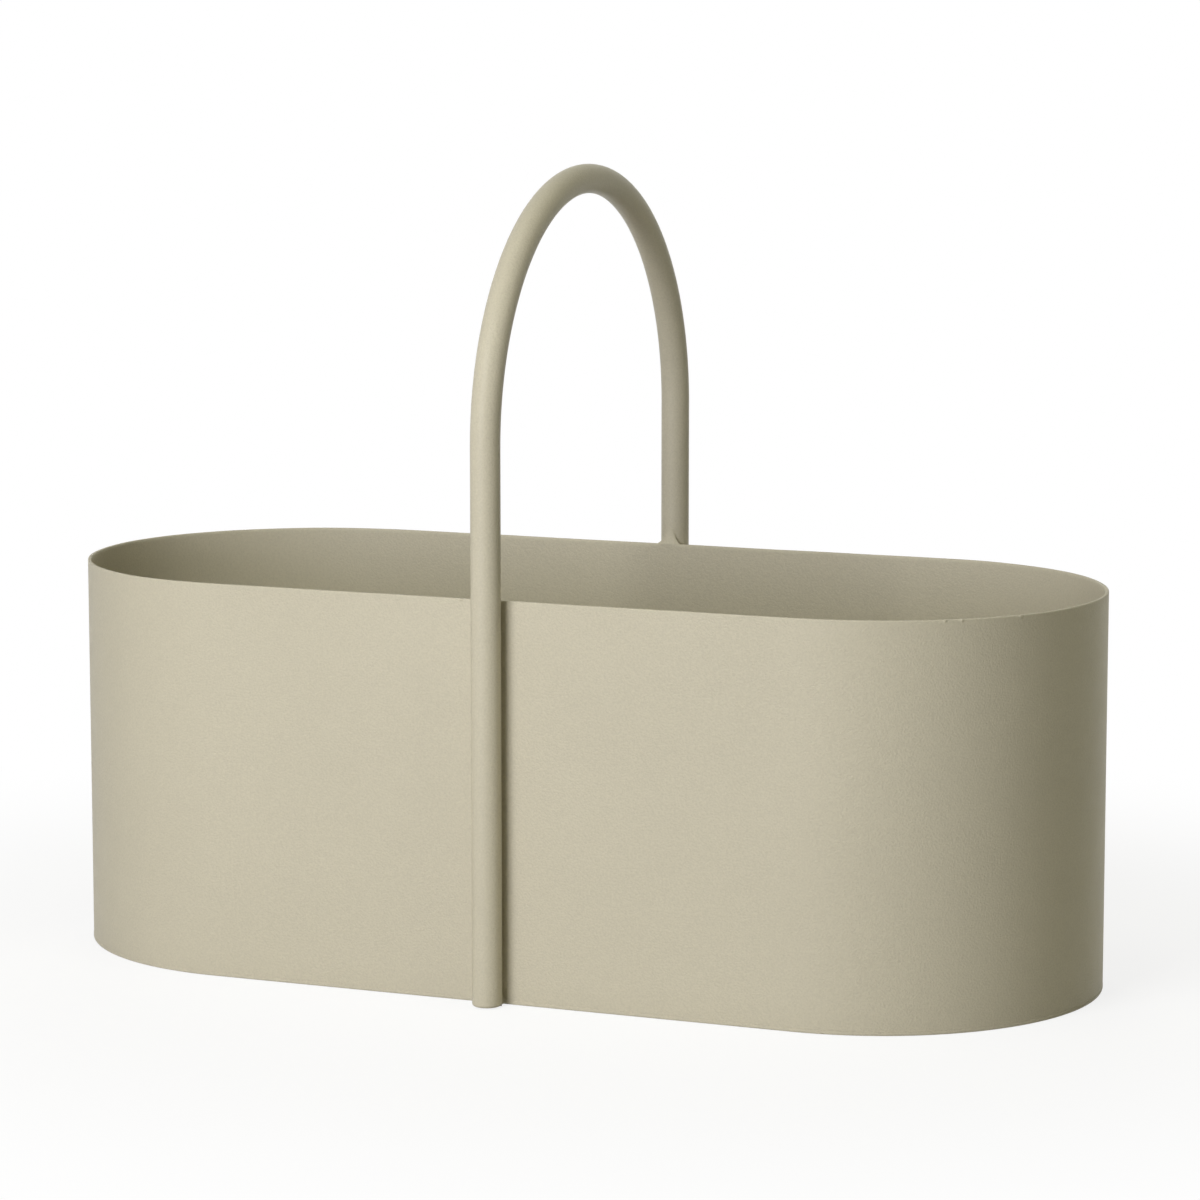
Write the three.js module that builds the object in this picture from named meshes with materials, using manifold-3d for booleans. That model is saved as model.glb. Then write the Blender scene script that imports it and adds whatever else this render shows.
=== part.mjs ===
import * as THREE from 'three';
import { mergeVertices } from 'three/addons/utils/BufferGeometryUtils.js';
import Module from 'manifold-3d';

// Open storage box of powder-coated steel with a fixed arch handle.
// A strip rolled into a stadium stands on a flat base. A bent tube spans the box across its middle,
// and its legs run down the outside of both long walls. Everything is welded, so nothing moves.
// Millimetres, +Z up. The origin is the middle of the underside. X runs along the box.

// Box
const BOX_LENGTH = 350;
const BOX_WIDTH = 150;
const BOX_HEIGHT = 129;
const WALL_THICKNESS = 1.2;
const BASE_THICKNESS = 1.2;
const EDGE_ROUNDING = 0.35;
const LARGEST_ROUNDING_SHARE = 0.45;
const SEAM_GAP = 1.6;

// Handle
const TUBE_DIAMETER = 9.5;
const TUBE_WALL = 1.2;
const LEG_RISE = 48.3;
const FOOT_LIFT = 0.3;
const PLUG_LENGTH = 2.5;
const FOOT_CHAMFER = 0.6;

// Welds
const BASE_WELD_LEG = 2;
const BASE_WELD_TOE = 0.2;
const RIM_WELD_WIDTH = 7.2;
const RIM_WELD_HEIGHT = 5;
const RIM_WELD_TIP = 0.25;
const FOOT_WELD_REACH = 5;
const FOOT_WELD_HEIGHT = 4;
const FOOT_WELD_ROOT = 1;

// Clearances
const LEG_CLEARANCE = 0.2;
const PLUG_CLEARANCE = 0.15;
const WELD_CLEARANCE = 0.1;
const CUT_CLEARANCE = 0.3;

// Finish
const COAT_COLOR = 0xc4bda8;
const COAT_ROUGHNESS = 0.55;

// Facets
const END_ARC_SEGMENTS = 20;
const ROUNDING_SEGMENTS = 2;
const WELD_SEGMENTS = 3;
const TUBE_SIDES = 20;
const TUBE_STEPS = 72;
const FLARE_SIDES = 60;

// Places worked out from the sizes above
const outerRadius = BOX_WIDTH / 2;
const innerRadius = outerRadius - WALL_THICKNESS;
const endCentre = BOX_LENGTH / 2 - outerRadius;
const tubeRadius = TUBE_DIAMETER / 2;
const boreRadius = tubeRadius - TUBE_WALL;
const legOffset = outerRadius + LEG_CLEARANCE + tubeRadius;
const archHeight = BOX_HEIGHT + LEG_RISE;
const quarterTurn = Math.PI / 2;
const fullTurn = Math.PI * 2;

const wasm = await Module();
wasm.setup();

function powderCoat() {
  return new THREE.MeshStandardMaterial({ color: COAT_COLOR, roughness: COAT_ROUGHNESS, metalness: 0 });
}

function toSolid(geometry) {
  const bare = geometry.clone();
  bare.deleteAttribute('normal');
  bare.deleteAttribute('uv');
  const merged = mergeVertices(bare);
  const vertProperties = new Float32Array(merged.attributes.position.array);
  const triVerts = new Uint32Array(merged.index.array);
  return new wasm.Manifold(new wasm.Mesh({ numProp: 3, vertProperties, triVerts }));
}

function toGeometry(solid) {
  const mesh = solid.getMesh();
  const geometry = new THREE.BufferGeometry();
  geometry.setAttribute('position', new THREE.BufferAttribute(mesh.vertProperties, 3));
  geometry.setIndex(new THREE.BufferAttribute(mesh.triVerts, 1));
  geometry.computeVertexNormals();
  return geometry;
}

// A closed stadium, counter-clockwise seen from above.
function stadiumShape(radius) {
  const shape = new THREE.Shape();
  shape.absarc(endCentre, 0, radius, -quarterTurn, quarterTurn, false);
  shape.absarc(-endCentre, 0, radius, quarterTurn, 3 * quarterTurn, false);
  return shape;
}

// The rolled strip seen from above, with its two ends facing each other across the seam.
function bandShape() {
  const seamEdge = SEAM_GAP / 2;
  const shape = new THREE.Shape();
  shape.moveTo(seamEdge, -outerRadius);
  shape.absarc(endCentre, 0, outerRadius, -quarterTurn, quarterTurn, false);
  shape.absarc(-endCentre, 0, outerRadius, quarterTurn, 3 * quarterTurn, false);
  shape.lineTo(-seamEdge, -outerRadius);
  shape.lineTo(-seamEdge, -innerRadius);
  shape.absarc(-endCentre, 0, innerRadius, 3 * quarterTurn, quarterTurn, true);
  shape.absarc(endCentre, 0, innerRadius, quarterTurn, -quarterTurn, true);
  shape.lineTo(seamEdge, -innerRadius);
  return shape;
}

// An upright plate of this outline from one height to another, with rounded edges.
function roundedPlate(shape, bottom, top, rounding, segments) {
  const geometry = new THREE.ExtrudeGeometry(shape, {
    depth: top - bottom - 2 * rounding,
    curveSegments: END_ARC_SEGMENTS,
    bevelThickness: rounding,
    bevelSize: rounding,
    bevelOffset: -rounding,
    bevelSegments: segments,
  });
  return geometry.translate(0, 0, bottom + rounding);
}

function plainPlate(shape, bottom, top) {
  const geometry = new THREE.ExtrudeGeometry(shape, {
    depth: top - bottom,
    curveSegments: END_ARC_SEGMENTS,
    bevelEnabled: false,
  });
  return geometry.translate(0, 0, bottom);
}

// The roundings on the two edges of a sheet never meet.
function edgeRounding(thickness) {
  return Math.min(EDGE_ROUNDING, LARGEST_ROUNDING_SHARE * thickness);
}

function wallBand() {
  const rounding = edgeRounding(WALL_THICKNESS);
  return roundedPlate(bandShape(), BASE_THICKNESS, BOX_HEIGHT, rounding, ROUNDING_SEGMENTS);
}

function basePlate() {
  const rounding = edgeRounding(BASE_THICKNESS);
  return roundedPlate(stadiumShape(outerRadius), 0, BASE_THICKNESS, rounding, ROUNDING_SEGMENTS);
}

// The butt joint between the ends of the strip, ground flush with both faces.
function seamWeld() {
  const halfWidth = SEAM_GAP / 2 - WELD_CLEARANCE;
  const shape = new THREE.Shape();
  shape.moveTo(-halfWidth, -outerRadius);
  shape.lineTo(halfWidth, -outerRadius);
  shape.lineTo(halfWidth, -innerRadius);
  shape.lineTo(-halfWidth, -innerRadius);
  const rounding = edgeRounding(WALL_THICKNESS);
  return roundedPlate(shape, BASE_THICKNESS, BOX_HEIGHT, rounding, ROUNDING_SEGMENTS);
}

// A hollow fillet in the corner between base and wall, cut out of a low slab by a rounded plug.
function baseWeld() {
  const seatRadius = innerRadius - WELD_CLEARANCE;
  const top = BASE_THICKNESS + BASE_WELD_LEG;
  const slab = plainPlate(stadiumShape(seatRadius), BASE_THICKNESS, top);
  const plug = roundedPlate(
    stadiumShape(seatRadius - BASE_WELD_TOE),
    BASE_THICKNESS - BASE_WELD_TOE,
    top + 2 * BASE_WELD_LEG,
    BASE_WELD_LEG,
    WELD_SEGMENTS,
  );
  return toGeometry(toSolid(slab).subtract(toSolid(plug)));
}

// The middle line of the handle: up the front leg, over a half circle and down the rear leg.
class HandleLine extends THREE.Curve {
  getPoint(t, target = new THREE.Vector3()) {
    const leg = archHeight - FOOT_LIFT;
    const arch = Math.PI * legOffset;
    const run = t * (2 * leg + arch);
    if (run <= leg) return target.set(0, -legOffset, FOOT_LIFT + run);
    if (run >= leg + arch) return target.set(0, legOffset, archHeight - (run - leg - arch));
    const angle = (run - leg) / legOffset;
    return target.set(0, -legOffset * Math.cos(angle), archHeight + legOffset * Math.sin(angle));
  }
}

// A ring round a leg's foot that takes the sharp corner off the tube's end.
function footChamfer(y) {
  const reach = tubeRadius + FOOT_CHAMFER;
  const floor = FOOT_LIFT - FOOT_CHAMFER;
  const profile = [
    new THREE.Vector2(tubeRadius - 2 * FOOT_CHAMFER, floor),
    new THREE.Vector2(reach, floor),
    new THREE.Vector2(reach, FOOT_LIFT + 2 * FOOT_CHAMFER),
  ];
  const ring = new THREE.LatheGeometry([...profile, profile[0].clone()], TUBE_SIDES);
  return toSolid(ring.rotateX(quarterTurn).translate(0, y, 0));
}

function handleTube() {
  const section = new THREE.Shape();
  section.absarc(0, 0, tubeRadius, 0, fullTurn, false);
  const bore = new THREE.Path();
  bore.absarc(0, 0, boreRadius, 0, fullTurn, true);
  section.holes.push(bore);
  const tube = new THREE.ExtrudeGeometry(section, {
    steps: TUBE_STEPS,
    curveSegments: TUBE_SIDES / 2,
    extrudePath: new HandleLine(),
  });
  const blunted = toSolid(tube).subtract(footChamfer(-legOffset)).subtract(footChamfer(legOffset));
  return toGeometry(blunted);
}

// A disc welded into the mouth of a leg and ground flush with its end.
function tubePlug(y) {
  const radius = boreRadius - PLUG_CLEARANCE;
  const disc = new THREE.CylinderGeometry(radius, radius, PLUG_LENGTH, TUBE_SIDES);
  return disc.rotateX(quarterTurn).translate(0, y, FOOT_LIFT + PLUG_LENGTH / 2);
}

// The fillet on top of the rim against the inner side of the front leg.
// A trumpet round the leg's axis is trimmed to a tongue that narrows upwards.
function rimWeld() {
  const back = tubeRadius + CUT_CLEARANCE;
  const front = legOffset - innerRadius - WELD_CLEARANCE;
  const top = BOX_HEIGHT + RIM_WELD_HEIGHT;
  const foot = BOX_HEIGHT + WELD_CLEARANCE;
  const flare = new THREE.Path();
  flare.moveTo(back, foot);
  flare.lineTo(front, foot);
  flare.quadraticCurveTo(back + RIM_WELD_TIP, foot, back + RIM_WELD_TIP, top);
  flare.lineTo(back, top);
  flare.lineTo(back, foot);
  const trumpet = new THREE.LatheGeometry(flare.getPoints(WELD_SEGMENTS), FLARE_SIDES);
  trumpet.rotateX(quarterTurn).translate(0, -legOffset, 0);

  const half = RIM_WELD_WIDTH / 2;
  const tongue = new THREE.Shape();
  tongue.moveTo(-half, BOX_HEIGHT);
  tongue.lineTo(half, BOX_HEIGHT);
  tongue.bezierCurveTo(half, top, half, top, 0, top);
  tongue.bezierCurveTo(-half, top, -half, top, -half, BOX_HEIGHT);
  const cutter = new THREE.ExtrudeGeometry(tongue, {
    depth: TUBE_DIAMETER,
    curveSegments: WELD_SEGMENTS,
    bevelEnabled: false,
  });
  cutter.rotateX(quarterTurn).translate(0, TUBE_DIAMETER - legOffset, 0);
  return toGeometry(toSolid(trumpet).intersect(toSolid(cutter)));
}

// The fillet in the crevice between wall and leg, at the foot of the front leg.
function footWeld(side) {
  const seat = -outerRadius - WELD_CLEARANCE;
  const root = side * FOOT_WELD_ROOT;
  const shape = new THREE.Shape();
  shape.moveTo(root, seat);
  shape.lineTo(side * FOOT_WELD_REACH, seat);
  shape.quadraticCurveTo(side * tubeRadius, seat - LEG_CLEARANCE, side * tubeRadius, -legOffset);
  shape.lineTo(root, -legOffset);
  const block = new THREE.ExtrudeGeometry(shape, {
    depth: FOOT_WELD_HEIGHT,
    curveSegments: WELD_SEGMENTS,
    bevelEnabled: false,
  });
  block.translate(0, 0, FOOT_LIFT);
  const room = tubeRadius + CUT_CLEARANCE;
  const leg = new THREE.CylinderGeometry(room, room, BOX_HEIGHT, FLARE_SIDES);
  leg.rotateX(quarterTurn).translate(0, -legOffset, 0);
  return toGeometry(toSolid(block).subtract(toSolid(leg)));
}

const box = new THREE.Group();

function addPiece(name, geometry) {
  const piece = new THREE.Mesh(geometry, powderCoat());
  piece.name = name;
  box.add(piece);
  return piece;
}

// The rear leg's welds are the front leg's, turned half round the box.
function addRearPiece(name, geometry) {
  addPiece(name, geometry).rotation.z = Math.PI;
}

addPiece('wall_band', wallBand());
addPiece('wall_seam_weld', seamWeld());
addPiece('base_plate', basePlate());
addPiece('base_weld', baseWeld());
addPiece('handle_tube', handleTube());
addPiece('front_tube_plug', tubePlug(-legOffset));
addPiece('rear_tube_plug', tubePlug(legOffset));
addPiece('front_rim_weld', rimWeld());
addRearPiece('rear_rim_weld', rimWeld());
addPiece('front_foot_weld_left', footWeld(-1));
addPiece('front_foot_weld_right', footWeld(1));
addRearPiece('rear_foot_weld_left', footWeld(1));
addRearPiece('rear_foot_weld_right', footWeld(-1));

export default box;
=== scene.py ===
import math

import bmesh
import bpy
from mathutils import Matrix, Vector, noise


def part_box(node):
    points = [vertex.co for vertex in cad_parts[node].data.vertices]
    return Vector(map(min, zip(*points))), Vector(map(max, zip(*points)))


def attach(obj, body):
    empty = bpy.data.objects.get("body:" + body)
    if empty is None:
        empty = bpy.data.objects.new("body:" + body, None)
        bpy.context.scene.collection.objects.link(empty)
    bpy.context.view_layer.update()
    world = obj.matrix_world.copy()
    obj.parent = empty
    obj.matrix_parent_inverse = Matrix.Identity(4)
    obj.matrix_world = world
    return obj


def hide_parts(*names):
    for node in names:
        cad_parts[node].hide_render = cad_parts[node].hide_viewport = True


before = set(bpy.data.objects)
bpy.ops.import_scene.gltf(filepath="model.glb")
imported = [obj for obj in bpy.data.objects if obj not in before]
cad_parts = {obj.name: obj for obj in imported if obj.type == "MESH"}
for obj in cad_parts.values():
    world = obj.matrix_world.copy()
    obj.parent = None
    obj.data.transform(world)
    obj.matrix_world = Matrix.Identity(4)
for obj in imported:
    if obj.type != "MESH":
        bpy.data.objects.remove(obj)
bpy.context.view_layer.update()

# Sizes from the frame, in metres
MM = 0.001
wall_low, wall_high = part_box("wall_band")
base_low, base_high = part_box("base_plate")
handle_low, handle_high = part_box("handle_tube")
plug_low, plug_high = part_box("front_tube_plug")
seam_low, seam_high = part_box("wall_seam_weld")
foot_bead_low, foot_bead_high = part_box("front_foot_weld_right")
fillet_low, fillet_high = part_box("base_weld")

end_radius = (wall_high.y - wall_low.y) / 2
end_centre = wall_high.x - end_radius
half_turn = math.pi * end_radius
perimeter = 4 * end_centre + 2 * half_turn
rim_height = wall_high.z
floor_top = base_high.z
sheet = seam_high.y - seam_low.y
tube_radius = (handle_high.x - handle_low.x) / 2
leg_offset = handle_high.y - tube_radius
arch_centre = handle_high.z - tube_radius - leg_offset
foot_level = handle_low.z
plug_radius = (plug_high.x - plug_low.x) / 2
fillet_leg = fillet_high.z - fillet_low.z

# Rounded edges of the coated sheet and tube
RIM_OUT_WIDE = 0.3 * MM
RIM_OUT_TALL = 0.4 * MM
RIM_IN_WIDE = 0.4 * MM
RIM_IN_TALL = 1.2 * MM
HEM_ROUND = 0.08 * MM
BASE_ROUND = 0.5 * MM
FOOT_ROUND = 0.9 * MM

# Plugs in the mouths of the legs
MOUTH_DEPTH = 3.0 * MM
PLUG_GAP = 0.12 * MM
PLUG_LIFT = 0.1 * MM
PLUG_EASE = 0.35 * MM

# Butt joint of the wall
SEAM_GAP = 1.6 * MM
SEAM_LAP = 0.15 * MM
SEAM_PROUD = 0.18 * MM
SEAM_SETBACK = 0.1 * MM

# Slight waves of the rolled sheet
WALL_WAVE = 0.07 * MM
WALL_WAVE_LENGTH = 70 * MM
RIM_WAVE = 0.10 * MM
RIM_WAVE_LENGTH = 24 * MM
RIM_WAVE_DEPTH = 3 * MM

# Runs of paint under the rim, by their place along the outline from the front middle
BURR_PLACES = [-10.8 * MM, 147.1 * MM, 152.6 * MM, 173.5 * MM]
BURR_WIDTH = 0.55 * MM
BURR_DROP = 0.25 * MM
BURR_PUSH = 0.34 * MM

# Depth and ripples of the weld beads
BEAD_SINK = 0.4 * MM
BEAD_RIPPLE = 0.12 * MM
BEAD_RIPPLE_LENGTH = 1.7 * MM

# Fillet round the inside of the base
FILLET_SINK = 0.2 * MM
FILLET_RIPPLE = 0.24 * MM
FILLET_RIPPLE_LENGTH = 4 * MM

# Beads where the legs cross the rim
RIM_BEAD_RISE = 5.4 * MM
RIM_BEAD_ROOT = 1.0 * MM
RIM_BEAD_SKIN = 0.3 * MM
RIM_BEAD_SETBACK = 0.1 * MM
FRONT_BEAD_TURN = math.radians(23)
REAR_BEAD_TURN = math.radians(36)
BEAD_TOP_TURN = math.radians(20)
RIM_BEAD_FLARE_POWER = 2.5
RIM_BEAD_TIP_POWER = 6
RIM_BEAD_SLOPE_POWER = 2
RIM_BEAD_SHOULDER = 0.2
RIM_BEAD_SHOULDER_POWER = 4

# Beads at the feet of the legs, with their turn round the tube in radians
FOOT_BEAD_RISE = 3.6 * MM
FOOT_BEAD_LIFT = 0.05 * MM
FOOT_BEAD_TURN = 1.35
FOOT_BEAD_TOP_FILL = 0.3
FOOT_BEAD_EXTRA_FILL = 0.75
FOOT_BEAD_TAPER_POWER = 0.9
FOOT_BEAD_UNEVENNESS = 0.05
FOOT_BEAD_HOLLOW = 0.4 * MM
FOOT_BEAD_WALL_SINK = 0.3 * MM

# Slices of the noise, so that the patterns of rim, fillet and beads differ
RIM_SLICE = 0.5
FILLET_SLICE = 0.3
BEAD_SLICE = 0.7

# Mesh fineness
MERGE_DISTANCE = 0.0001 * MM
SHARP_ANGLE = math.radians(50)
STATION_STEP = 2.5 * MM
BURR_STEP = 0.2 * MM
BURR_STATIONS = 7
ROUND_STEPS = 6
EDGE_STEPS = 8
FACE_STEPS = 14
RIM_BAND = 2 * MM
RIM_BAND_STEPS = 9
SEAM_STEP = 1 * MM
SEAM_FACE_STEPS = 9
TUBE_SIDES = 56
LEG_STEPS = 30
ARCH_STEPS = 120
DISC_RINGS = 6
MOUTH_RINGS = 2
PLUG_FACE_RINGS = 4
PLUG_TOP_RINGS = 2
BEAD_STEPS = 24
BEAD_FACE_STEPS = 12

# Paint
COAT_COLOR = (0.52, 0.482, 0.369)
COAT_GLOSS = 0.15
GRAIN_LENGTH = 0.65 * MM
PEEL_LENGTH = 4.5 * MM
CLOUD_LENGTH = 60 * MM
DUST_SPACING = 55 * MM
DUST_CORE = 0.22 * MM
DUST_EDGE = 0.385 * MM
DUST_SHADE = 0.6
GRAIN_SHADE = 0.052
CLOUD_SHADE = 0.015
PEEL_SHEEN = 0.03
NOISE_RANGE = (0.3, 0.7)
PEEL_RANGE = (0.25, 0.75)

# Studio
WHITE = (1, 1, 1, 1)
FLOOR_SIZE = 12.0
FLOOR_GAP = 0.1 * MM
FLOOR_COLOR = (0.58, 0.565, 0.48, 1)
SHADOW_COLOR = (0.18, 0.18, 0.18, 1)
SHADOW_GLOW = 0.82
SHADOW_NEAR = 0.16
SHADOW_FAR = 0.42
LIGHT_AIM = Vector((0, 0, 0.12))
LOW_KEY_COLOR = (0.97, 0.97, 1.15)
KEY_COLOR = (1, 1, 0.97)
FILL_COLOR = (1, 0.98, 0.78)

# Camera, as in the photograph: angles in degrees, lens and sensor in millimetres
CAMERA_AZIMUTH = 22.63
CAMERA_ELEVATION = 8.11
CAMERA_DISTANCE = 1.451
CAMERA_TARGET = Vector((0.0053, 0, 0.1195))
CAMERA_LENS = 132.6
CAMERA_SENSOR = 36


# Mesh tools

def join_rings(name, rings, loop=False, caps=False):
    """Makes one mesh from rings of equal length, with quads between neighbours."""
    count = len(rings[0])
    points = [p for ring in rings for p in ring]
    faces = []
    for i in range(len(rings) if loop else len(rings) - 1):
        a = i * count
        b = (i + 1) % len(rings) * count
        for j in range(count):
            k = (j + 1) % count
            faces.append((a + j, b + j, b + k, a + k))
    if caps:
        faces.append(tuple(range(count)))
        faces.append(tuple(reversed(range(len(points) - count, len(points)))))
    return make_piece(name, points, faces)


def make_piece(name, points, faces):
    """A smooth-shaded object whose faces point outwards, with doubled points merged."""
    mesh = bpy.data.meshes.new(name)
    mesh.from_pydata([tuple(p) for p in points], [], faces)
    shape = bmesh.new()
    shape.from_mesh(mesh)
    bmesh.ops.remove_doubles(shape, verts=shape.verts, dist=MERGE_DISTANCE)
    bmesh.ops.recalc_face_normals(shape, faces=shape.faces)
    shape.to_mesh(mesh)
    shape.free()
    piece = bpy.data.objects.new(name, mesh)
    bpy.context.scene.collection.objects.link(piece)
    mesh.shade_smooth()
    mesh.set_sharp_from_angle(angle=SHARP_ANGLE)
    return piece


def arc(centre, radius, start, end, steps):
    """Points on a circle as pairs, from one angle to another in degrees."""
    angles = [math.radians(start + (end - start) * i / steps) for i in range(steps + 1)]
    return [(centre[0] + radius * math.cos(a), centre[1] + radius * math.sin(a)) for a in angles]


def steps_between(start, end, step):
    """Evenly spaced numbers from start to end, both included."""
    count = max(1, round(abs(end - start) / step))
    return [start + (end - start) * i / count for i in range(count + 1)]


def unevenness(point, length, amount):
    """A smooth random measure at a point, with waves of the given length and height."""
    return noise.noise(Vector(point) / length) * amount


# Shapes of the box

def outline_at(along):
    """The point and outward normal at a length along the outline, from the front middle to the right."""
    along = along % perimeter
    if along < end_centre:
        return Vector((along, -end_radius, 0)), Vector((0, -1, 0))
    along -= end_centre
    for side in (1, -1):
        if along < half_turn:
            turn = along / end_radius
            out = Vector((math.sin(turn), -math.cos(turn), 0)) * side
            return Vector((side * end_centre, 0, 0)) + out * end_radius, out
        along -= half_turn
        if along < 2 * end_centre:
            return Vector((side * (end_centre - along), side * end_radius, 0)), Vector((0, side, 0))
        along -= 2 * end_centre


def stations(seam=0.0, burrs=()):
    """Lengths along the outline, closer together at the burrs, from one side of the seam to the other."""
    marks = steps_between(seam / 2, perimeter - seam / 2, STATION_STEP)
    for place in burrs:
        marks += [place % perimeter + i * BURR_STEP for i in range(-BURR_STATIONS, BURR_STATIONS + 1)]
    marks.sort()
    return marks if seam else marks[:-1]


def stadium():
    """The whole outline as points with their outward normals."""
    return [outline_at(along) for along in stations()]


def eased_edge(wide, tall):
    """A quarter of an ellipse, from a standing face up to the top, as (depth, height from the top)."""
    return [(wide * (1 - x), tall * (y - 1)) for x, y in arc((0, 0), 1, 0, 90, EDGE_STEPS)]


def wall_profile():
    """The wall's section as (depth behind the outer face, height), with eased upper and lower edges."""
    low = wall_low.z + HEM_ROUND
    outer_top = rim_height - RIM_OUT_TALL
    inner_top = rim_height - RIM_IN_TALL
    split = outer_top - RIM_BAND
    profile = [(0, z) for z in steps_between(low, split, (split - low) / FACE_STEPS)]
    profile += [(0, z) for z in steps_between(split, outer_top, RIM_BAND / RIM_BAND_STEPS)][1:]
    profile += [(d, rim_height + h) for d, h in eased_edge(RIM_OUT_WIDE, RIM_OUT_TALL)[1:]]
    profile += [(sheet - d, rim_height + h) for d, h in reversed(eased_edge(RIM_IN_WIDE, RIM_IN_TALL))]
    profile += [(sheet, z) for z in steps_between(inner_top, low, (inner_top - low) / FACE_STEPS)][1:]
    profile += arc((sheet - HEM_ROUND, low), HEM_ROUND, 0, -90, ROUND_STEPS)[1:]
    profile += arc((HEM_ROUND, low), HEM_ROUND, -90, -180, ROUND_STEPS)[:-1]
    return profile


def rim_offset(point, height):
    """How far the sheet's upper edge strays from level, fading out below it."""
    fade = max(0.0, 1 - (rim_height - height) / RIM_WAVE_DEPTH)
    wave = unevenness((point.x, point.y, RIM_SLICE), RIM_WAVE_LENGTH, RIM_WAVE)
    return (wave - RIM_WAVE / 2) * fade


def burr_push(point, height):
    """Small runs of paint that stand out from the outer face just under the rim."""
    push = 0.0
    for place in BURR_PLACES:
        across = (point - outline_at(place)[0]).length / BURR_WIDTH
        down = (height - rim_height + BURR_DROP) / BURR_WIDTH
        push += BURR_PUSH * math.exp(-across ** 2 - down ** 2)
    return push


def rolled_wall():
    """The rolled strip, from one side of its butt joint round to the other."""
    profile = wall_profile()
    rings = []
    for along in stations(SEAM_GAP, BURR_PLACES):
        point, out = outline_at(along)
        ring = []
        for depth, height in profile:
            wave = unevenness((point.x, point.y, height), WALL_WAVE_LENGTH, WALL_WAVE)
            shift = wave - WALL_WAVE - depth
            if depth < sheet / 2:
                shift += burr_push(point, height)
            place = point + out * shift
            ring.append((place.x, place.y, height + rim_offset(point, height)))
        rings.append(ring)
    return join_rings("rolled_wall", rings, caps=True)


def wall_seam():
    """The strip's butt joint, dressed flush outside and left a little proud inside."""
    half = (seam_high.x - seam_low.x) / 2 + SEAM_LAP
    outside = seam_low.y + SEAM_SETBACK
    rings = []
    for z in steps_between(seam_low.z + HEM_ROUND, seam_high.z - RIM_OUT_TALL, SEAM_STEP):
        proud = SEAM_PROUD + unevenness((0, 0, z), BEAD_RIPPLE_LENGTH, BEAD_RIPPLE)
        crown = arc((0, 0), 1, 0, 180, SEAM_FACE_STEPS)
        ring = [(half * x, seam_high.y + proud * y, z) for x, y in crown]
        rings.append(ring + [(-half, outside, z), (half, outside, z)])
    return join_rings("wall_seam", rings, caps=True)


def spine_ring(share, inset, height):
    """A ring at one height, at a share of the way from the stadium's spine to its inset outline."""
    ring = []
    for point, out in stadium():
        spine = Vector((max(-end_centre, min(end_centre, point.x)), 0, 0))
        place = spine.lerp(point - out * inset, share)
        ring.append((place.x, place.y, height))
    return ring


def floor_sheet():
    """The base plate, with its edge rounded and its faces built in towards the spine of the stadium."""
    shares = [i / DISC_RINGS for i in range(DISC_RINGS)]
    edge = arc((BASE_ROUND, base_low.z + BASE_ROUND), BASE_ROUND, -90, -180, ROUND_STEPS)
    edge += arc((HEM_ROUND, base_high.z - HEM_ROUND), HEM_ROUND, 180, 90, ROUND_STEPS)
    rings = [spine_ring(share, BASE_ROUND, base_low.z) for share in shares]
    rings += [spine_ring(1, inset, height) for inset, height in edge]
    rings += [spine_ring(share, HEM_ROUND, base_high.z) for share in reversed(shares)]
    return join_rings("floor_sheet", rings)


def floor_fillet():
    """The weld all round the inside corner, a hollow fillet with the ripples of its passes."""
    rings = []
    for point, out in stadium():
        ripple = unevenness((point.x, point.y, FILLET_SLICE), FILLET_RIPPLE_LENGTH, FILLET_RIPPLE)
        leg = fillet_leg + ripple
        corner = point - out * sheet
        ring = []
        for inward, up in arc((leg, leg), leg, 180, 270, BEAD_FACE_STEPS):
            place = corner - out * inward
            ring.append((place.x, place.y, floor_top + up))
        back = corner + out * FILLET_SINK
        ring.append((back.x, back.y, floor_top - FILLET_SINK))
        rings.append(ring)
    return join_rings("floor_fillet", rings, loop=True)


# Shapes of the handle

def handle_line():
    """Points and directions from the front foot over the arch to the rear foot."""
    line = [(Vector((0, -leg_offset, z)), Vector((0, 0, 1)))
            for z in steps_between(foot_level + FOOT_ROUND, arch_centre, arch_centre / LEG_STEPS)]
    for y, z in arc((0, 0), 1, 180, 0, ARCH_STEPS)[1:-1]:
        line.append((Vector((0, y * leg_offset, arch_centre + z * leg_offset)), Vector((0, z, -y))))
    line += [(Vector((0, leg_offset, z)), Vector((0, 0, -1)))
             for z in steps_between(arch_centre, foot_level + FOOT_ROUND, arch_centre / LEG_STEPS)]
    return line


def circle_ring(centre, direction, radius):
    """A circle of the tube's fineness round a direction."""
    side = Vector((1, 0, 0))
    across = direction.cross(side)
    ring = []
    for i in range(TUBE_SIDES):
        turn = 2 * math.pi * i / TUBE_SIDES
        ring.append(centre + (side * math.cos(turn) + across * math.sin(turn)) * radius)
    return ring


def foot_rings(y, direction):
    """The short open mouth and the rounded lip of a leg, listed from inside the mouth outwards."""
    bore = plug_radius + PLUG_GAP
    bed = Vector((0, y, foot_level + MOUTH_DEPTH))
    rings = [circle_ring(bed, direction, bore * i / MOUTH_RINGS) for i in range(MOUTH_RINGS + 1)]
    rings.append(circle_ring(Vector((0, y, foot_level)), direction, bore))
    lip = arc((tube_radius - FOOT_ROUND, foot_level + FOOT_ROUND), FOOT_ROUND, -90, 0, ROUND_STEPS)
    return rings + [circle_ring(Vector((0, y, z)), direction, r) for r, z in lip[:-1]]


def arch_handle():
    """The bent tube from mouth to mouth."""
    body = [circle_ring(p, d, tube_radius) for p, d in handle_line()]
    start = foot_rings(-leg_offset, Vector((0, 0, 1)))
    end = foot_rings(leg_offset, Vector((0, 0, -1)))
    return join_rings("arch_handle", start + body + end[::-1])


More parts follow.
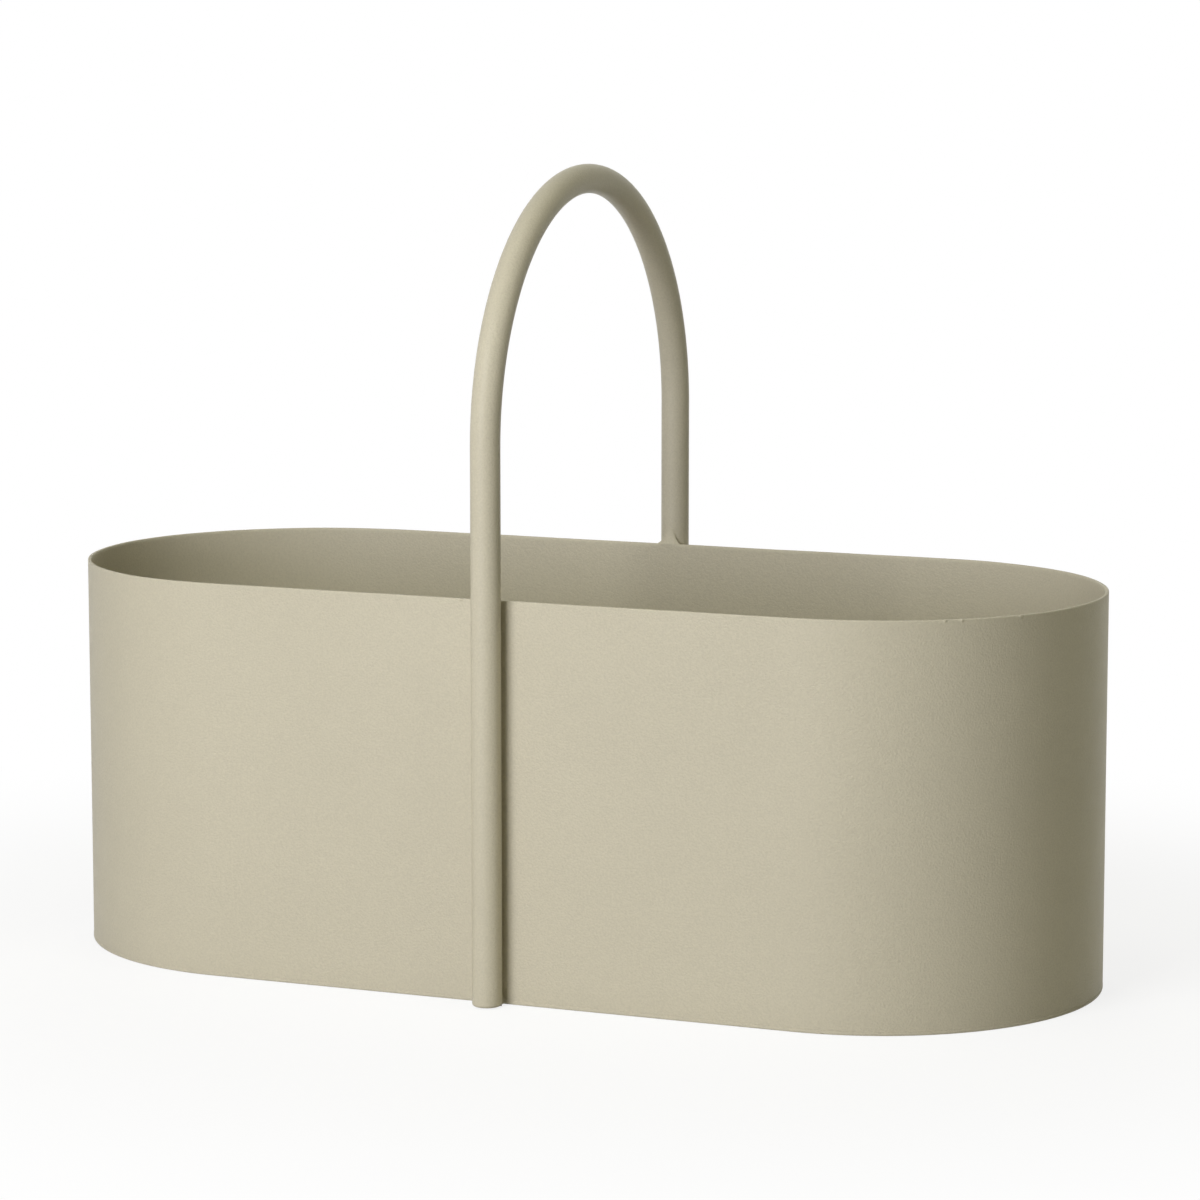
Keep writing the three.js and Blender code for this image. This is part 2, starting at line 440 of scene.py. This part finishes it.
def leg_plug(name, y):
    """The disc that closes a leg, with an eased edge inside the tube's mouth."""
    bottom = foot_level + PLUG_LIFT
    flat = plug_radius - PLUG_EASE
    section = [(flat * i / PLUG_FACE_RINGS, bottom) for i in range(PLUG_FACE_RINGS)]
    section += arc((flat, bottom + PLUG_EASE), PLUG_EASE, -90, 0, ROUND_STEPS)
    section += [(plug_radius * i / PLUG_TOP_RINGS, plug_high.z) for i in range(PLUG_TOP_RINGS, -1, -1)]
    rings = [circle_ring(Vector((0, y, z)), Vector((0, 0, 1)), radius) for radius, z in section]
    return join_rings(name, rings)


# Weld beads

def leg_point(side, radius, turn, z):
    """A point round a leg's axis, by its turn away from the middle of the box."""
    return (radius * math.sin(turn), side * (leg_offset - radius * math.cos(turn)), z)


def rim_bead(name, side, foot_turn):
    """The fillet from the rim up the inner side of a leg: broad on the rim, a blunt tongue on the leg."""
    to_inner_face = leg_offset - end_radius + sheet - RIM_BEAD_SETBACK
    bottom = rim_height - RIM_BEAD_ROOT
    rings = []
    for i in range(BEAD_STEPS):
        z = bottom + (RIM_BEAD_ROOT + RIM_BEAD_RISE) * i / BEAD_STEPS
        v = max(0, (z - rim_height) / RIM_BEAD_RISE)
        spread = BEAD_TOP_TURN + (foot_turn - BEAD_TOP_TURN) * (1 - v) ** RIM_BEAD_FLARE_POWER
        spread *= math.sqrt(1 - v ** RIM_BEAD_TIP_POWER)
        face = []
        back = []
        for j in range(BEAD_FACE_STEPS + 1):
            s = 2 * j / BEAD_FACE_STEPS - 1
            turn = spread * s
            reach = (to_inner_face / math.cos(turn) - tube_radius) * (1 - v) ** RIM_BEAD_SLOPE_POWER
            reach *= 1 - RIM_BEAD_SHOULDER * s ** RIM_BEAD_SHOULDER_POWER
            radius = tube_radius + reach + RIM_BEAD_SKIN * (1 - s ** 2)
            ripple = unevenness((radius * turn, BEAD_SLICE, z), BEAD_RIPPLE_LENGTH, BEAD_RIPPLE)
            face.append(leg_point(side, radius + ripple * (1 - v), turn, z))
            back.append(leg_point(side, tube_radius - BEAD_SINK, turn, z))
        rings.append(face + back[::-1])
    return join_rings(name, rings, caps=True)


def foot_bead(name, side, hand):
    """The fillet at a leg's foot that fills the crevice between tube and wall and thins out upwards."""
    bottom = foot_bead_low.z + FOOT_BEAD_LIFT
    axis = Vector((0, leg_offset))
    buried = end_radius - FOOT_BEAD_WALL_SINK
    rings = []
    for i in range(BEAD_STEPS + 1):
        v = i / BEAD_STEPS
        z = bottom + FOOT_BEAD_RISE * v
        fill = FOOT_BEAD_TOP_FILL + FOOT_BEAD_EXTRA_FILL * (1 - v) ** FOOT_BEAD_TAPER_POWER
        fill += unevenness((0, hand, z), BEAD_RIPPLE_LENGTH, FOOT_BEAD_UNEVENNESS)
        out = foot_bead_high.x * fill
        turn = FOOT_BEAD_TURN * fill
        foot = Vector((out, end_radius))
        deep = Vector((out / 2, end_radius + FOOT_BEAD_HOLLOW))
        tip = axis + Vector((math.sin(turn), -math.cos(turn))) * tube_radius
        section = []
        for j in range(BEAD_FACE_STEPS + 1):
            t = j / BEAD_FACE_STEPS
            section.append(foot * (1 - t) ** 2 + deep * 2 * t * (1 - t) + tip * t ** 2)
        section.append(axis + (tip - axis) * (1 - BEAD_SINK / tube_radius))
        section.append(Vector((0, leg_offset - tube_radius + BEAD_SINK)))
        section.append(Vector((0, buried)))
        section.append(Vector((out, buried)))
        rings.append([(hand * p.x, side * p.y, z) for p in section])
    return join_rings(name, rings, caps=True)


# Shader nodes

class Nodes:
    """A short way to add and link shader nodes."""

    def __init__(self, tree):
        self.tree = tree
        tree.nodes.clear()

    def add(self, kind, **inputs):
        """Adds a node and sets or links its inputs by name, with an underscore for each space."""
        node = self.tree.nodes.new(kind)
        for key, value in inputs.items():
            socket = node.inputs[key.replace("_", " ")]
            if isinstance(value, bpy.types.NodeSocket):
                self.tree.links.new(value, socket)
            else:
                socket.default_value = value
        return node

    def join(self, kind, *sockets):
        """Adds a node and links the given outputs to its inputs in their order."""
        node = self.tree.nodes.new(kind)
        for start, end in zip(sockets, node.inputs):
            self.tree.links.new(start, end)
        return node

    def combine(self, operation, first, second):
        """One number from two."""
        node = self.join("ShaderNodeMath", first, second)
        node.operation = operation
        return node.outputs["Value"]

    def pattern(self, place, length, detail, roughness):
        """A soft random pattern with waves of the given length."""
        node = self.add("ShaderNodeTexNoise", Vector=place, Scale=1 / length, Detail=detail,
                        Roughness=roughness)
        return node.outputs["Fac"]

    def spread(self, value, source, target):
        """Maps one range of a value to another range."""
        node = self.add("ShaderNodeMapRange", Value=value, From_Min=source[0], From_Max=source[1],
                        To_Min=target[0], To_Max=target[1])
        return node.outputs["Result"]


# Paint

def powder_coat(name, grain_depth, peel_depth, roughness):
    """Matt powder coat: fine grain, soft orange peel, slight clouding and a few specks of dust."""
    material = bpy.data.materials.new(name)
    material.use_nodes = True
    n = Nodes(material.node_tree)
    place = n.add("ShaderNodeTexCoord").outputs["Object"]
    grain = n.pattern(place, GRAIN_LENGTH, detail=2.0, roughness=0.6)
    peel = n.pattern(place, PEEL_LENGTH, detail=1.0, roughness=0.4)
    cloud = n.pattern(place, CLOUD_LENGTH, detail=3.0, roughness=0.55)
    cells = n.add("ShaderNodeTexVoronoi", Vector=place, Scale=1 / DUST_SPACING).outputs["Distance"]

    tone = n.spread(cloud, NOISE_RANGE, (1 - CLOUD_SHADE, 1 + CLOUD_SHADE))
    fleck = n.spread(grain, NOISE_RANGE, (1 - GRAIN_SHADE, 1 + GRAIN_SHADE))
    dust = n.spread(cells, (DUST_CORE / DUST_SPACING, DUST_EDGE / DUST_SPACING), (DUST_SHADE, 1))
    shade = n.combine("MULTIPLY", n.combine("MULTIPLY", tone, fleck), dust)
    color = n.add("ShaderNodeVectorMath")
    color.operation = "SCALE"
    color.inputs[0].default_value = COAT_COLOR
    n.tree.links.new(shade, color.inputs["Scale"])

    sheen = n.spread(peel, PEEL_RANGE, (roughness - PEEL_SHEEN, roughness + PEEL_SHEEN))
    broad = n.add("ShaderNodeBump", Height=peel, Strength=1.0, Distance=peel_depth)
    fine = n.add("ShaderNodeBump", Height=grain, Strength=1.0, Distance=grain_depth,
                 Normal=broad.outputs["Normal"])
    shader = n.add("ShaderNodeBsdfPrincipled", Base_Color=color.outputs["Vector"], Roughness=sheen,
                   Normal=fine.outputs["Normal"], Specular_IOR_Level=COAT_GLOSS)
    n.add("ShaderNodeOutputMaterial", Surface=shader.outputs["BSDF"])
    return material


# Studio

def seen_directly(n):
    """1 for rays from the camera and for reflections and glass, 0 for the light that falls on things."""
    path = n.add("ShaderNodeLightPath").outputs
    first = n.combine("MAXIMUM", path["Is Camera Ray"], path["Is Glossy Ray"])
    return n.combine("MAXIMUM", first, path["Is Transmission Ray"])


def make_world():
    """White where it is looked at, without light of its own on the box."""
    world = bpy.data.worlds.new("studio")
    world.use_nodes = True
    n = Nodes(world.node_tree)
    dark = n.add("ShaderNodeBackground", Color=WHITE, Strength=0.0)
    white = n.add("ShaderNodeBackground", Color=WHITE, Strength=1.0)
    mix = n.join("ShaderNodeMixShader", seen_directly(n), dark.outputs[0], white.outputs[0])
    n.add("ShaderNodeOutputWorld", Surface=mix.outputs[0])
    bpy.context.scene.world = world


def floor_paint():
    """White with a faint shadow near the box where it is looked at, and pale for the light it returns."""
    material = bpy.data.materials.new("studio_floor")
    material.use_nodes = True
    n = Nodes(material.node_tree)
    pale = n.add("ShaderNodeBsdfDiffuse", Color=FLOOR_COLOR)
    veil = n.add("ShaderNodeBsdfDiffuse", Color=SHADOW_COLOR)
    glow = n.add("ShaderNodeEmission", Color=WHITE, Strength=SHADOW_GLOW)
    white = n.add("ShaderNodeEmission", Color=WHITE, Strength=1.0)
    near = n.join("ShaderNodeAddShader", veil.outputs[0], glow.outputs[0])
    away = n.join("ShaderNodeVectorMath", n.add("ShaderNodeTexCoord").outputs["Object"])
    away.operation = "LENGTH"
    fade = n.add("ShaderNodeMapRange", Value=away.outputs["Value"], From_Min=SHADOW_NEAR,
                 From_Max=SHADOW_FAR)
    fade.interpolation_type = "SMOOTHSTEP"
    seen = n.join("ShaderNodeMixShader", fade.outputs["Result"], near.outputs[0], white.outputs[0])
    mix = n.join("ShaderNodeMixShader", seen_directly(n), pale.outputs[0], seen.outputs[0])
    n.add("ShaderNodeOutputMaterial", Surface=mix.outputs[0])
    return material


def make_floor():
    """A wide floor just under the box."""
    half = FLOOR_SIZE / 2
    corners = [(x * half, y * half, -FLOOR_GAP) for x, y in ((-1, -1), (1, -1), (1, 1), (-1, 1))]
    floor = make_piece("studio_floor", corners, [(0, 1, 2, 3)])
    floor.data.materials.append(floor_paint())


def stand_facing(thing, target, azimuth, elevation, distance):
    """Places a lamp or camera by its angles in degrees from the front and upwards, turned to a target."""
    around = math.radians(azimuth)
    up = math.radians(elevation)
    away = Vector((math.sin(around) * math.cos(up), -math.cos(around) * math.cos(up), math.sin(up)))
    thing.location = target + away * distance
    thing.rotation_mode = "QUATERNION"
    thing.rotation_quaternion = (-away).to_track_quat("-Z", "Y")
    bpy.context.scene.collection.objects.link(thing)


def soft_panel(name, azimuth, elevation, distance, width, height, power, color):
    """A soft light turned to the box."""
    lamp = bpy.data.lights.new(name, "AREA")
    lamp.shape = "RECTANGLE"
    lamp.size = width
    lamp.size_y = height
    lamp.energy = power
    lamp.color = color
    panel = bpy.data.objects.new(name, lamp)
    stand_facing(panel, LIGHT_AIM, azimuth, elevation, distance)
    return panel


def make_lights():
    """Two keys from the front left, weak light from above and the right, and a low light from behind."""
    soft_panel("low_key", azimuth=-10, elevation=3, distance=1.2, width=0.5, height=0.25,
               power=4.5, color=LOW_KEY_COLOR)
    soft_panel("middle_key", azimuth=-11, elevation=29, distance=1.2, width=0.6, height=0.45,
               power=8.8, color=KEY_COLOR)
    soft_panel("overhead", azimuth=-10, elevation=82, distance=1.2, width=0.4, height=0.4,
               power=2.4, color=FILL_COLOR)
    soft_panel("right_fill", azimuth=75, elevation=42, distance=1.2, width=0.4, height=0.4,
               power=1.5, color=FILL_COLOR)
    soft_panel("rear_fill", azimuth=130, elevation=12, distance=1.1, width=0.5, height=0.5,
               power=1.2, color=FILL_COLOR)
    back_light = soft_panel("back_light", azimuth=205, elevation=9, distance=1.3, width=0.6, height=0.3,
                            power=8.0, color=KEY_COLOR)
    # So low behind the box, its reflection would glint along the rim
    back_light.visible_glossy = False


def make_camera():
    """The view of the photograph."""
    data = bpy.data.cameras.new("camera")
    data.sensor_width = CAMERA_SENSOR
    data.lens = CAMERA_LENS
    camera = bpy.data.objects.new("camera", data)
    stand_facing(camera, CAMERA_TARGET, CAMERA_AZIMUTH, CAMERA_ELEVATION, CAMERA_DISTANCE)
    bpy.context.scene.camera = camera


# The dressed part

def dress(piece, node, material):
    """Paints a piece, hangs it under the root body and hides the solid that it stands for."""
    piece.data.materials.append(material)
    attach(piece, "root")
    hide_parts(node)


sheet_coat = powder_coat("sheet_coat", grain_depth=0.17 * MM, peel_depth=0.02 * MM, roughness=0.47)
tube_coat = powder_coat("tube_coat", grain_depth=0.14 * MM, peel_depth=0.018 * MM, roughness=0.36)
bead_coat = powder_coat("bead_coat", grain_depth=0.15 * MM, peel_depth=0.05 * MM, roughness=0.46)

dress(rolled_wall(), "wall_band", sheet_coat)
dress(wall_seam(), "wall_seam_weld", bead_coat)
dress(floor_sheet(), "base_plate", sheet_coat)
dress(floor_fillet(), "base_weld", bead_coat)
dress(arch_handle(), "handle_tube", tube_coat)
dress(leg_plug("front_leg_plug", -leg_offset), "front_tube_plug", tube_coat)
dress(leg_plug("rear_leg_plug", leg_offset), "rear_tube_plug", tube_coat)
for end, side, foot_turn in (("front", -1, FRONT_BEAD_TURN), ("rear", 1, REAR_BEAD_TURN)):
    dress(rim_bead(end + "_rim_bead", side, foot_turn), end + "_rim_weld", bead_coat)
    for hand_name, hand in (("left", -1), ("right", 1)):
        name = end + "_foot_bead_" + hand_name
        dress(foot_bead(name, side, hand), end + "_foot_weld_" + hand_name, bead_coat)

make_camera()
make_world()
make_floor()
make_lights()
bpy.context.scene.view_settings.view_transform = "Standard"
